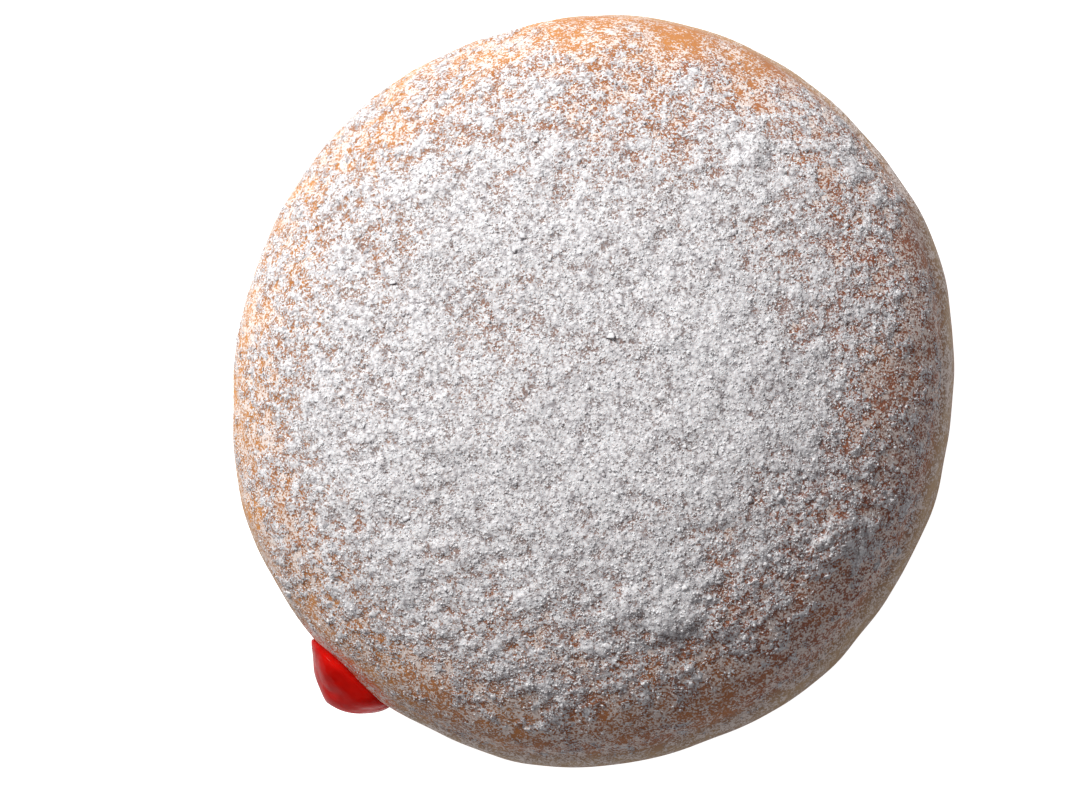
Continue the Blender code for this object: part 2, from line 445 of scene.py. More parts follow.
# %% [markdown]
# How thick the sugar lies decides everything that follows, so it is one rule that every step reads.
# It fell from a sieve held over the middle: nearly closed in a wide round, then thinner down the
# shoulder, with bare patches where the crust shows.
# The rule is worked out at each point of the mesh and stored as an attribute, a number that travels
# with the mesh and that both Geometry Nodes and the materials can read.

# %% How thick the sugar lies
SUGAR_MIDDLE = Vector((-1.2 * MM, 1.2 * MM, 0.0))
FULL_TO = 16.0 * MM
GONE_AT = 47.0 * MM
COVER_FALL_POWER = 1.7
COVER_LOST_WITHIN = 18.0 * MM
UNEVEN_IN_THE_MIDDLE = 0.4
PATCH_LENGTH = 6.5 * MM
PATCH_STRENGTH = 0.32
SPECK_LENGTH = 1.6 * MM
SPECK_STRENGTH = 0.42
THIN_AND_THICK_PLACES = (
    # millimetres from the middle, degrees from +X, millimetres of reach, how much more or less sugar
    (11.0, 150.0, 9.0, -0.2),
    (20.0, 2.0, 8.0, 0.25),
    (27.0, 88.0, 8.0, -0.15),
    (42.5, 39.0, 6.5, 0.4),
    (45.5, 2.0, 4.0, 0.35),
    (45.8, 63.0, 4.0, -0.6),
    (45.8, 76.0, 4.5, -0.75),
    (45.8, 93.0, 5.0, -0.6),
    (41.0, 356.0, 6.0, -0.2),
    (34.5, 226.0, 8.0, 0.22),
    (35.0, 265.0, 6.0, 0.12),
    (40.5, 257.0, 6.5, -0.05),
    (39.0, 318.0, 5.0, -0.2),
    (41.5, 183.0, 5.0, -0.1),
    (30.3, 292.5, 4.0, 0.6),
    (36.0, 329.0, 3.5, 0.45),
    (34.0, 52.0, 3.5, 0.25),
    (43.0, 129.0, 3.0, 0.25),
)


def sugar_cover(place):
    """How much sugar lies at a place: 1 where it is closed, 0 where there is none."""
    flat = Vector((place.x, place.y, 0.0))
    fallen = max(0.0, ((flat - SUGAR_MIDDLE).length - FULL_TO) / (GONE_AT - FULL_TO))
    cover = 1.0 - fallen ** COVER_FALL_POWER
    for distance, turn, reach, more in THIN_AND_THICK_PLACES:
        middle = level_way(math.radians(turn)) * (distance * MM)
        apart = (flat - middle).length / (reach * MM)
        cover += more * math.exp(-apart * apart)
    cover += PATCH_STRENGTH * noise.noise(place / PATCH_LENGTH) * (UNEVEN_IN_THE_MIDDLE + fallen)
    cover += SPECK_STRENGTH * noise.noise(place / SPECK_LENGTH) * (UNEVEN_IN_THE_MIDDLE + fallen)
    if place.z < BELT_HEIGHT + BELT_HALF_WIDTH:
        cover -= (BELT_HEIGHT + BELT_HALF_WIDTH - place.z) / COVER_LOST_WITHIN
    return cover


def store_cover(piece):
    """Stores the cover at each of a mesh's points."""
    stored = piece.data.attributes.new("cover", "FLOAT", "POINT")
    covers = [sugar_cover(vertex.co) for vertex in piece.data.vertices]
    stored.data.foreach_set("value", covers)
    return sum(covers) / len(covers)


print("mean cover of the whole crust", round(store_cover(crust), 2))

# %% [markdown]
# A sieve also drops lumps of pressed sugar, up to 6 mm wide and a tenth as high or less, which the
# dusting then softens into heaps. The CAD model has them fused to its bun, and the same seeded draw
# puts them in the same places here.
# A heap is a swell of the ground under the sugar: a dome that is longer one way, with an uneven edge.

# %% Heaps of sugar
LARGE_LUMPS = (
    # millimetres from the middle, degrees from +X, millimetres of half width
    (30.3, 292.5, 2.9),
    (27.4, 286.0, 2.1),
    (36.0, 329.0, 2.3),
    (33.4, 300.5, 1.8),
    (29.0, 124.5, 2.2),
    (43.0, 129.0, 1.6),
    (12.5, 25.0, 1.9),
    (24.0, 236.0, 2.0),
    (17.0, 205.0, 1.8),
    (34.0, 52.0, 2.3),
)
SMALL_LUMP_COUNT = 18
SMALL_LUMP_HALF_WIDTH = (0.7 * MM, 1.1 * MM)
LUMP_FLATNESS = 0.17
LUMP_STRETCH = 1.25
LUMP_FIELD = 0.86
LUMP_SEED = 11
HEAP_UNEVENNESS = 0.5
HEAP_BUMPS = 1.6
HEAP_SPREAD = 1.5
HEAP_FOOT_POWER = 1.5


def wanted_lumps():
    """Distance, direction, spin and half width of each lump."""
    draw = random.Random(LUMP_SEED)
    wanted = []
    for across, turn, half_width in LARGE_LUMPS:
        wanted.append((across * MM, math.radians(turn), draw.uniform(0.0, math.tau), half_width * MM))
    for _ in range(SMALL_LUMP_COUNT):
        across = MEAN_RADIUS * LUMP_FIELD * math.sqrt(draw.random())
        turn = draw.uniform(0.0, math.tau)
        half_width = draw.uniform(*SMALL_LUMP_HALF_WIDTH)
        wanted.append((across, turn, draw.uniform(0.0, math.tau), half_width))
    return wanted


def place_heaps():
    """Where each heap lies, as a frame on the crust whose Z points outwards, and its half width."""
    placed = []
    for across, turn, spin, half_width in wanted_lumps():
        above = Vector((across * math.cos(turn), across * math.sin(turn), 2.0 * TOTAL_HEIGHT))
        _, place, outwards, _ = crust.ray_cast(above, Vector((0.0, 0.0, -1.0)))
        turned = outwards.to_track_quat("Z", "Y").to_matrix().to_4x4() @ Matrix.Rotation(spin, 4, "Z")
        placed.append(((Matrix.Translation(place) @ turned).inverted(), place, half_width))
    return placed


HEAPS = place_heaps()


def heap_height(place):
    """How far the heaps lift the ground at a place."""
    height = 0.0
    for into_heap, middle, half_width in HEAPS:
        reach = half_width * HEAP_SPREAD * LUMP_STRETCH
        # Its uneven edge reaches further than the dome's own, so places a little past that count too.
        if (place - middle).length_squared < 2.0 * reach * reach:
            seen = into_heap @ place
            apart = math.hypot(seen.x / LUMP_STRETCH, seen.y * LUMP_STRETCH) / (half_width * HEAP_SPREAD)
            apart += HEAP_UNEVENNESS * noise.noise(place * HEAP_BUMPS / half_width)
            dome = max(0.0, 1.0 - apart * apart) ** HEAP_FOOT_POWER
            height = max(height, half_width * LUMP_FLATNESS * dome)
    return height


print("heaps of sugar:", len(HEAPS))

# %% [markdown]
# The ground for the sugar is a round of fine square cells laid over the bun's top. Its cells are about
# 0.3 mm wide, two or three picture elements, which is as fine as the sugar's own clumps.
# The cells are even along the surface: the distance from the middle of the round is turned into the
# angle from the vertical, and the bun's own rule does the rest.

# %% The ground under the sugar
GROUND_CELL = 0.31 * MM
GROUND_REACH = 50.0 * MM
GROUND_EDGE_ANGLE = math.radians(78.0)


def ground_shape():
    """A round of square cells on the bun's top."""
    half = math.ceil(GROUND_REACH / GROUND_CELL)
    shape = bmesh.new()
    rows = {}
    for row in range(-half, half + 1):
        for column in range(-half, half + 1):
            from_middle = math.hypot(row, column) / half
            if from_middle <= 1.0:
                angle = from_middle * GROUND_EDGE_ANGLE
                flat = level_way(math.atan2(row, column)) * math.sin(angle)
                direction = flat + Vector((0.0, 0.0, math.cos(angle)))
                place = crust_point(direction) + to_origin
                outwards = Vector((flat.x, flat.y, direction.z)).normalized()
                rows[row, column] = shape.verts.new(place + outwards * heap_height(place))
    steps = ((0, 0), (1, 0), (1, 1), (0, 1))
    for row, column in rows:
        corners = [rows.get((row + down, column + along)) for along, down in steps]
        if all(corners):
            shape.faces.new(corners)
    return shape


ground = object_from(ground_shape(), "sugar_ground")
print("sugar ground:", len(ground.data.polygons), "cells, mean cover", round(store_cover(ground), 2))

# %% [markdown]
# Sugar from a sieve does not lie as a smooth sheet. It lies in low heaps, its surface is a fine rubble
# with pits, and where little fell it breaks up into islands.
# One Geometry Nodes tree makes both. It lifts the ground along its normals by a height that is the
# cover minus a threshold, plus noise for heaps and clumps. Where the height is negative the sheet
# dives under the crust, and what lies deep under it is deleted, so the holes and the islands come by
# themselves. The height is stored too, because the material colours the pits by it.

# %% Tree: a coat of sugar
CLUMP_MIDDLE = 0.45


def new_tree(name, numbers, **others):
    """A Geometry Nodes tree with inputs for numbers and other kinds, and its input node's outputs."""
    tree = bpy.data.node_groups.new(name, "GeometryNodeTree")
    tree.interface.new_socket("Geometry", in_out="OUTPUT", socket_type="NodeSocketGeometry")
    sockets = {"Geometry": "Geometry", **dict.fromkeys(numbers, "Float"), **others}
    for socket, kind in sockets.items():
        tree.interface.new_socket(socket, in_out="INPUT", socket_type=f"NodeSocket{kind}")
    return tree, add_node(tree, "NodeGroupInput").outputs


def finish_tree(tree, geometry, material):
    """Ends a tree as the export needs it: real mesh, smooth, with its material."""
    real = add_node(tree, "GeometryNodeRealizeInstances", {0: geometry})
    smooth = add_node(tree, "GeometryNodeSetShadeSmooth", {0: real.outputs[0]})
    coloured = add_node(
        tree, "GeometryNodeSetMaterial", {"Geometry": smooth.outputs[0], "Material": material}
    )
    add_node(tree, "NodeGroupOutput", {0: coloured.outputs[0]})


def coat_height(tree, given):
    """The nodes for the coat's height over the crust, in metres."""
    cover = add_node(tree, "GeometryNodeInputNamedAttribute", {"Name": "cover"}, data_type="FLOAT")
    above = add_node(
        tree, "ShaderNodeMath", {0: cover.outputs[0], 1: given["Bare below"]}, operation="SUBTRACT"
    )
    even = add_node(
        tree, "ShaderNodeMath", {0: above.outputs[0], 1: given["Thickness"]}, operation="MULTIPLY"
    )
    per_heap = add_node(tree, "ShaderNodeMath", {0: 1.0, 1: given["Heap length"]}, operation="DIVIDE")
    heap = add_node(
        tree, "ShaderNodeTexNoise", {"Scale": per_heap.outputs[0], "Detail": 4.0, "Roughness": 0.68}
    )
    heaped = varied(tree, even.outputs[0], heap.outputs[0], given["Heap depth"])
    per_clump = add_node(tree, "ShaderNodeMath", {0: 1.0, 1: given["Clump length"]}, operation="DIVIDE")
    clump = add_node(tree, "ShaderNodeTexVoronoi", {"Scale": per_clump.outputs[0]})
    clump_centred = add_node(
        tree, "ShaderNodeMath", {0: CLUMP_MIDDLE, 1: clump.outputs["Distance"]}, operation="SUBTRACT"
    )
    return add_node(
        tree,
        "ShaderNodeMath",
        {0: clump_centred.outputs[0], 1: given["Clump depth"], 2: heaped},
        operation="MULTIPLY_ADD",
    ).outputs[0]


def coat_tree():
    """Lifts a mesh by the sugar that lies on it."""
    amounts = ("Thickness", "Bare below", "Heap length", "Heap depth", "Clump length", "Clump depth")
    tree, given = new_tree("sugar coat", (*amounts, "Lowest", "Delete below"), Material="Material")
    height = add_node(
        tree, "ShaderNodeMath", {0: coat_height(tree, given), 1: given["Lowest"]}, operation="MAXIMUM"
    )
    measured = add_node(
        tree,
        "GeometryNodeStoreNamedAttribute",
        {"Geometry": given["Geometry"], "Name": "height", "Value": height.outputs[0]},
        data_type="FLOAT",
        domain="POINT",
    )
    stored = add_node(tree, "GeometryNodeInputNamedAttribute", {"Name": "height"}, data_type="FLOAT")
    buried = add_node(
        tree,
        "FunctionNodeCompare",
        {"A": stored.outputs[0], "B": given["Delete below"]},
        data_type="FLOAT",
        operation="LESS_THAN",
    )
    kept = add_node(
        tree, "GeometryNodeDeleteGeometry", {0: measured.outputs[0], "Selection": buried.outputs[0]}
    )
    normal = add_node(tree, "GeometryNodeInputNormal")
    lift = add_node(
        tree, "ShaderNodeVectorMath", {0: normal.outputs[0], "Scale": stored.outputs[0]}, operation="SCALE"
    )
    lifted = add_node(
        tree, "GeometryNodeSetPosition", {"Geometry": kept.outputs[0], "Offset": lift.outputs[0]}
    )
    finish_tree(tree, lifted.outputs[0], given["Material"])
    return tree


# %% [markdown]
# On the coat lie loose grains and clumps, from the size of a pin's point to a millimetre. They catch
# the light one by one and give the dusting its fluffy look.
# They are scattered by a second tree: random points on the surface, more of them where the cover is
# in a chosen range, each with one of three small rough shapes that is turned at random, flattened a
# little and half sunk. Many grains are small and few are large, so the random size is squared.
# A grain that is repeated ten thousand times has only a few faces.

# %% Tree: scattered grains
GRAIN_NARROWEST = 0.7
GRAIN_WIDEST = 1.3
GRAIN_LEAN = 0.5


def grain_sizes(tree, given):
    """The nodes for a random size, mostly small, uneven in its three directions and flattened."""
    draw = add_node(tree, "FunctionNodeRandomValue", {"Seed": given["Seed"]}, data_type="FLOAT")
    rare = add_node(tree, "ShaderNodeMath", {0: draw.outputs["Value"], 1: 2.0}, operation="POWER")
    size = add_node(
        tree,
        "ShaderNodeMapRange",
        {"Value": rare.outputs[0], "To Min": given["Smallest"], "To Max": given["Largest"]},
    )
    uneven = add_node(
        tree,
        "FunctionNodeRandomValue",
        {"Min": (GRAIN_NARROWEST,) * 3, "Max": (GRAIN_WIDEST,) * 3, "Seed": given["Seed"]},
        data_type="FLOAT_VECTOR",
    )
    flat = add_node(tree, "ShaderNodeCombineXYZ", {"X": 1.0, "Y": 1.0, "Z": given["Flatness"]})
    shaped = add_node(
        tree, "ShaderNodeVectorMath", {0: uneven.outputs[0], 1: flat.outputs[0]}, operation="MULTIPLY"
    )
    return add_node(
        tree,
        "ShaderNodeVectorMath",
        {0: shaped.outputs[0], "Scale": size.outputs["Result"]},
        operation="SCALE",
    ).outputs[0]


def grain_turns(tree, upright, seed):
    """The nodes for a grain's turn: any way round, and leaning a little from upright."""
    spin = add_node(
        tree,
        "FunctionNodeRandomValue",
        {
            "Min": (-GRAIN_LEAN, -GRAIN_LEAN, -math.pi),
            "Max": (GRAIN_LEAN, GRAIN_LEAN, math.pi),
            "Seed": seed,
        },
        data_type="FLOAT_VECTOR",
    )
    spun = add_node(tree, "FunctionNodeEulerToRotation", {0: spin.outputs[0]})
    return add_node(
        tree,
        "FunctionNodeRotateRotation",
        {"Rotation": upright, "Rotate By": spun.outputs[0]},
        rotation_space="LOCAL",
    ).outputs[0]


def scatter_tree():
    """Spreads copies of the grains in a collection over a mesh."""
    tree, given = new_tree(
        "scattered grains",
        ("Density", "Cover for none", "Cover for all", "Smallest", "Largest", "Flatness"),
        Grains="Collection",
        Seed="Int",
        Material="Material",
    )
    cover = add_node(tree, "GeometryNodeInputNamedAttribute", {"Name": "cover"}, data_type="FLOAT")
    share = add_node(
        tree,
        "ShaderNodeMapRange",
        {
            "Value": cover.outputs[0],
            "From Min": given["Cover for none"],
            "From Max": given["Cover for all"],
        },
    )
    density = add_node(
        tree, "ShaderNodeMath", {0: share.outputs[0], 1: given["Density"]}, operation="MULTIPLY"
    )
    points = add_node(
        tree,
        "GeometryNodeDistributePointsOnFaces",
        {"Mesh": given["Geometry"], "Density": density.outputs[0], "Seed": given["Seed"]},
    )
    shapes = add_node(
        tree,
        "GeometryNodeCollectionInfo",
        {"Collection": given["Grains"], "Separate Children": True, "Reset Children": True},
    )
    placed = add_node(
        tree,
        "GeometryNodeInstanceOnPoints",
        {
            "Points": points.outputs["Points"],
            "Instance": shapes.outputs[0],
            "Pick Instance": True,
            "Rotation": grain_turns(tree, points.outputs["Rotation"], given["Seed"]),
            "Scale": grain_sizes(tree, given),
        },
    )
    finish_tree(tree, placed.outputs[0], given["Material"])
    return tree


def grown_from(source, name, tree, **values):
    """A plain mesh object: what the tree makes of the source's mesh with these inputs."""
    held = source.copy()
    bpy.context.scene.collection.objects.link(held)
    modifier = held.modifiers.new(tree.name, "NODES")
    modifier.node_group = tree
    for socket in tree.interface.items_tree:
        wanted = socket.name.lower().replace(" ", "_")
        if wanted in values:
            modifier[socket.identifier] = values[wanted]
    evaluated = held.evaluated_get(bpy.context.evaluated_depsgraph_get())
    mesh = bpy.data.meshes.new_from_object(evaluated)
    mesh.name = name
    bpy.data.objects.remove(held)
    triangles = sum(len(polygon.vertices) - 2 for polygon in mesh.polygons)
    print(f"{name}: {triangles} triangles")
    return add_object(name, mesh)


# %% [markdown]
# The crust is fried dough. Its colour comes from how much heat each part took from the hot oil: golden
# on the domes with brown blotches, and pale at the belt, which floated between oil and air. Painted
# shade makes it more brown towards the right, on the side away from the lamp.
# Sugar too thin to have a thickness lies on it as single white specks that drift together into
# patches. The same specks close up to form the coat, and the crust shows between them in its pits.
# There it gets painted shade from the grains round it, and it is greyed partly by fine dust and partly
# by more painted shade, the more so the thicker the sugar.
# Both materials share these patterns: the crust's colour, that colour in the gaps, the specks, and
# small clumps packed side by side.
# Real powdered sugar is finer than a twentieth of a millimetre. The specks are drawn at 0.2 mm and the
# clumps at 0.5 mm, so that they show.

# %% Patterns shared by the crust and the sugar
CRUST_GOLD = "#e09646"
# The brown of the crust's blotches, also used as painted shade on the side away from the lamp.
CRUST_BROWN_AND_SHADE = "#ae6b4e"
BELT_CREAM = "#cdac88"
BELT_PALE_TO = BELT_HALF_WIDTH - 2.5 * MM
BELT_BROWN_FROM = BELT_HALF_WIDTH + 1.0 * MM
BROWNING_LENGTH = 7.0 * MM
# Painted shade: the side towards which the crust is made more brown, away from the lamp.
SHADED_SIDE_TURN = math.radians(-20.0)
SHADED_SIDE_WIDTH = 80.0 * MM
# Painted shade in the gaps: the first row is shade from the grains round them, the second greys them,
# partly as fine dust and partly as shade.
GAP_SHADE_AND_DUST_COLOURS = (
    # cover where it starts and where it is strongest, how strong, colour
    (-0.1, 0.5, 0.55, "#86594d"),
    (0.5, 1.0, 0.85, "#979090"),
)
SPECK_SHOWN = 0.2 * MM
SPECK_CONTRAST = 1.8
DRIFT_LENGTH = 1.4 * MM
DRIFT_CONTRAST = 4.2
CLUMP_SHOWN = 0.5 * MM
CLUMP_WANDER = 0.4 * MM
CLUMP_FOOT = 0.8


def crust_colour(tree, place):
    """The crust's colour, as an output: golden domes, brown blotches, painted shade away from the lamp and
    a pale belt.
    """
    blotches = add_node(
        tree, "ShaderNodeTexNoise", {"Vector": place, "Scale": 1.0 / BROWNING_LENGTH, "Detail": 3.0}
    )
    # Painted shade: the crust turns more brown towards the right, away from the lamp, on top of its brown
    # blotches.
    towards_shaded_side = level_way(SHADED_SIDE_TURN) / SHADED_SIDE_WIDTH
    aside = add_node(tree, "ShaderNodeVectorMath", {0: place, 1: towards_shaded_side}, operation="DOT_PRODUCT")
    browning_and_side_shade = add_node(
        tree, "ShaderNodeMath", {0: blotches.outputs[0], 1: aside.outputs["Value"]}, operation="ADD"
    )
    domes = add_node(
        tree,
        "ShaderNodeMix",
        {"Factor": browning_and_side_shade.outputs[0], "A": linear(CRUST_GOLD), "B": linear(CRUST_BROWN_AND_SHADE)},
        data_type="RGBA",
    )
    across_belt = level_way(BELT_TILT_TURN) * -BELT_TILT / MEAN_RADIUS
    across_belt.z = 1.0
    height = add_node(tree, "ShaderNodeVectorMath", {0: place, 1: across_belt}, operation="DOT_PRODUCT")
    above_belt = add_node(
        tree, "ShaderNodeMath", {0: height.outputs["Value"], 1: BELT_HEIGHT}, operation="SUBTRACT"
    )
    from_belt = add_node(tree, "ShaderNodeMath", {0: above_belt.outputs[0]}, operation="ABSOLUTE")
    belt = add_node(
        tree,
        "ShaderNodeMapRange",
        {
            "Value": from_belt.outputs[0],
            "From Min": BELT_PALE_TO,
            "From Max": BELT_BROWN_FROM,
            "To Min": 1.0,
            "To Max": 0.0,
        },
        interpolation_type="SMOOTHSTEP",
    )
    return add_node(
        tree,
        "ShaderNodeMix",
        {"Factor": belt.outputs[0], "A": domes.outputs[2], "B": linear(BELT_CREAM)},
        data_type="RGBA",
    ).outputs[2]


def shaded_and_dusted_crust(tree, place):
    """The crust's colour in the gaps: painted shade of the grains round it, then greyed partly by fine
    dust and partly by painted shade.
    """
    cover = add_node(tree, "ShaderNodeAttribute", attribute_name="cover")
    seen = crust_colour(tree, place)
    for starts, strongest, most, colour in GAP_SHADE_AND_DUST_COLOURS:
        share = add_node(
            tree,
            "ShaderNodeMapRange",
            {"Value": cover.outputs["Fac"], "From Min": starts, "From Max": strongest, "To Max": most},
        )
        seen = add_node(
            tree,
            "ShaderNodeMix",
            {"Factor": share.outputs[0], "A": seen, "B": linear(colour)},
            data_type="RGBA",
        ).outputs[2]
    return seen


def packed_clumps(tree, place):
    """A height, as an output from about 0 to 1, of small round clumps packed side by side."""
    drift = add_node(
        tree, "ShaderNodeTexNoise", {"Vector": place, "Scale": 1.0 / CLUMP_SHOWN, "Detail": 2.0}
    )
    wander = add_node(
        tree,
        "ShaderNodeVectorMath",
        {0: drift.outputs["Color"], 1: (CLUMP_WANDER,) * 3, 2: place},
        operation="MULTIPLY_ADD",
    )
    cells = add_node(
        tree,
        "ShaderNodeTexVoronoi",
        {"Vector": wander.outputs[0], "Scale": 1.0 / CLUMP_SHOWN},
    )
    distance = cells.outputs["Distance"]
    fallen = add_node(tree, "ShaderNodeMath", {0: distance, 1: distance}, operation="MULTIPLY")
    return add_node(
        tree,
        "ShaderNodeMapRange",
        {"Value": fallen.outputs[0], "From Max": CLUMP_FOOT, "To Min": 1.0, "To Max": 0.0},
    ).outputs[0]


def speck_share(tree, place, attribute, bare_at, closed_at):
    """How white each speck is, as an output, from 0 to 1 between two values of an attribute."""
    amount = add_node(tree, "ShaderNodeAttribute", attribute_name=attribute)
    level = add_node(
        tree,
        "ShaderNodeMapRange",
        {"Value": amount.outputs["Fac"], "From Min": bare_at, "From Max": closed_at},
        clamp=False,
    )
    drift = add_node(
        tree,
        "ShaderNodeTexNoise",
        {"Vector": place, "Scale": 1.0 / DRIFT_LENGTH, "Detail": 3.0, "Roughness": 0.75},
    )
    drifted = varied(tree, level.outputs[0], drift.outputs[0], DRIFT_CONTRAST)
    specks = add_node(tree, "ShaderNodeTexVoronoi", {"Vector": place, "Scale": 1.0 / SPECK_SHOWN})
    each = add_node(tree, "ShaderNodeSeparateColor", {0: specks.outputs["Color"]})
    speckled = varied(tree, drifted, each.outputs[0], SPECK_CONTRAST)
    return add_node(
        tree, "ShaderNodeMapRange", {"Value": speckled}, interpolation_type="SMOOTHSTEP"
    ).outputs[0]


# %% [markdown]
# Powdered sugar is a dead white powder with no gloss, so its shader is fully rough. Its grains are
# clear crystals, so a little of the light spreads inside, which softens the shade of each clump. It is
# white on the tops of its clumps and greyer between them, where light gets lost.
# The coat turns to the crust's colour, with its painted shade, in its pits, read from the stored height.
# Two bumps in a row let the clumps, and on them the white specks, stand proud.

# %% Material: powdered sugar
SUGAR_WHITE = "#fffdfd"
SUGAR_SHADE = "#b6b1b3"
BARE_HEIGHT = -0.1 * MM
CLOSED_HEIGHT = 0.2 * MM
SUGAR_GLOW_DEPTH = 0.3 * MM
SPECK_BUMP = 0.075 * MM
CLUMP_BUMP = 0.065 * MM


def powdered_sugar(name, height_known):
    """Matt white powder, speckled with the crust under it where its height is known."""
    material = new_material(
        name,
        {
            "Roughness": 1.0,
            "Specular IOR Level": 0.1,
            "Subsurface Weight": 0.3,
            "Subsurface Radius": (1.0, 0.9, 0.85),
            "Subsurface Scale": SUGAR_GLOW_DEPTH,
        },
    )
    tree = material.node_tree
    shader = tree.nodes["Principled BSDF"]
    place = add_node(tree, "ShaderNodeTexCoord").outputs["Object"]
    clumps = packed_clumps(tree, place)
    tone = add_node(
        tree,
        "ShaderNodeMix",
        {"Factor": clumps, "A": linear(SUGAR_SHADE), "B": linear(SUGAR_WHITE)},
        data_type="RGBA",
    )
    if height_known:
        white = speck_share(tree, place, "height", BARE_HEIGHT, CLOSED_HEIGHT)
        tone = add_node(
            tree,
            "ShaderNodeMix",
            {"Factor": white, "A": shaded_and_dusted_crust(tree, place), "B": tone.outputs[2]},
            data_type="RGBA",
        )
        clumped = add_node(tree, "ShaderNodeBump", {"Height": clumps, "Distance": CLUMP_BUMP})
        bump = add_node(
            tree,
            "ShaderNodeBump",
            {"Height": white, "Distance": SPECK_BUMP, "Normal": clumped.outputs["Normal"]},
        )
        tree.links.new(bump.outputs["Normal"], shader.inputs["Normal"])
    tree.links.new(tone.outputs[2], shader.inputs["Base Color"])
    return material


coat_finish = powdered_sugar("powdered sugar coat", height_known=True)
grain_finish = powdered_sugar("powdered sugar grains", height_known=False)

# %% [markdown]
# Now the coat. It is made once as a visible piece. The same tree also makes the surface on which the
# grains land: there the lowest height is zero, so that grains fall on the sugar where it lies and on
# the crust where it does not.

# %% Sugar coat
COAT = {
    "thickness": 0.42 * MM,
    "bare_below": 0.34,
    "heap_length": 2.4 * MM,
    "heap_depth": 0.8 * MM,
    "clump_length": 0.55 * MM,
    "clump_depth": 0.17 * MM,
}
BURIED = 0.16 * MM

coats = coat_tree()
coat = grown_from(
    ground, "sugar_coat", coats, lowest=-1.0, delete_below=-BURIED, material=coat_finish, **COAT
)
landing = grown_from(
    ground, "sugar_landing", coats, lowest=0.0, delete_below=-1.0, material=coat_finish, **COAT
)

# %% [markdown]
# The grains come in five kinds. The two finest have four faces each and are about a fifth of a
# millimetre wide: one lies wherever there is any sugar, the other only where it is thick. The largest
# are soft flat flakes up to a millimetre wide, most of them towards the middle.

# %% Grains of sugar
PER_SQUARE_MM = 1.0 / MM**2
VARIANTS = 3
VARIANT_STEP = 7.3
GRAIN_UNEVENNESS = (
    # how strong, how fine
    (0.8, 1.6),
    (0.45, 4.3),
)
GRAIN_KINDS = (
    # name, faces, density, cover for none, cover for all, smallest, largest radius, flatness
    ("sugar_flakes", 80, 0.1, 0.2, 0.9, 0.2, 0.42, 0.25),
    ("sugar_crumbs", 20, 0.9, 0.1, 0.9, 0.12, 0.24, 0.45),
    ("sugar_grains", 8, 3.4, -0.1, 0.7, 0.09, 0.18, 0.7),
    ("sugar_dust", 4, 6.4, -0.3, 0.3, 0.07, 0.13, 0.9),
    ("sugar_powder", 4, 7.0, 0.2, 0.8, 0.08, 0.15, 0.9),
)


def grain_shapes(faces):
    """A collection of rough lumps one unit in radius, of 4, 8, 20 or 80 faces."""
    shapes = bpy.data.collections.new("grain shapes")
    for number in range(VARIANTS):
        shape = bmesh.new()
        if faces == 4:
            bmesh.ops.create_cone(shape, cap_ends=True, segments=3, radius1=1.1, radius2=0.0, depth=1.5)
        elif faces == 8:
            bmesh.ops.create_uvsphere(shape, u_segments=4, v_segments=2, radius=1.0)
        else:
            bmesh.ops.create_icosphere(shape, subdivisions=1 if faces == 20 else 2, radius=1.0)
        for vertex in shape.verts:
            seen_from = vertex.co + Vector((VARIANT_STEP * number, 4.1, 2.2))
            uneven = 1.0
            for strength, fineness in GRAIN_UNEVENNESS:
                uneven += strength * noise.noise(seen_from * fineness)
            vertex.co *= uneven
        grain = object_from(shape, "grain")
        bpy.context.scene.collection.objects.unlink(grain)
        shapes.objects.link(grain)
    return shapes


scatter = scatter_tree()
sugar_pieces = [coat]
for seed, (name, faces, density, none_at, all_at, smallest, largest, flatness) in enumerate(GRAIN_KINDS):
    shapes = grain_shapes(faces)
    grains = grown_from(
        landing,
        name,
        scatter,
        grains=shapes,
        density=density * PER_SQUARE_MM,
        cover_for_none=none_at,
        cover_for_all=all_at,
        smallest=smallest * MM,
        largest=largest * MM,
        flatness=flatness,
        seed=seed,
        material=grain_finish,
    )
    sugar_pieces.append(grains)
    for grain in list(shapes.objects):
        bpy.data.objects.remove(grain)
    bpy.data.collections.remove(shapes)
bpy.data.objects.remove(landing)
bpy.data.objects.remove(ground)

# %% [markdown]
# The crust's own material adds three things to its colour: the warm stain that the jam's juice left
# round the hole, over it the film of single specks, which thins out with the cover, and the fine pores
# of fried dough. The film is a warm white, because light comes through single specks from the crust.

# %% Material: fried crust
FILM_BARE_COVER = -0.25
FILM_CLOSED_COVER = 0.6
FILM_MOST = 0.9
FILM_WHITE = "#fff1e8"
JAM_STAIN = "#f06a30"
STAIN_FULL = 7.0 * MM
STAIN_EDGE = 10.0 * MM
STAIN_HEIGHT = HOLE_HEIGHT + 1.0 * MM
PORE_LENGTH = 0.9 * MM
PORE_BUMP = 0.06 * MM


def stained_and_shaded_crust(tree, place):
    """The crust's colour in the gaps, with its painted shade and dust, and the stain of the jam on it."""
    stain_middle = level_way(JAM_TURN) * outline_radius(JAM_TURN)
    stain_middle.z = STAIN_HEIGHT
    from_hole = add_node(
        tree, "ShaderNodeVectorMath", {0: place, 1: stain_middle + to_origin}, operation="DISTANCE"
    )
    stain = add_node(
        tree,
        "ShaderNodeMapRange",
        {
            "Value": from_hole.outputs["Value"],
            "From Min": STAIN_FULL,
            "From Max": STAIN_EDGE,
            "To Min": 1.0,
            "To Max": 0.0,
        },
        interpolation_type="SMOOTHSTEP",
    )
    return add_node(
        tree,
        "ShaderNodeMix",
        {"Factor": stain.outputs[0], "A": shaded_and_dusted_crust(tree, place), "B": linear(JAM_STAIN)},
        data_type="RGBA",
    ).outputs[2]


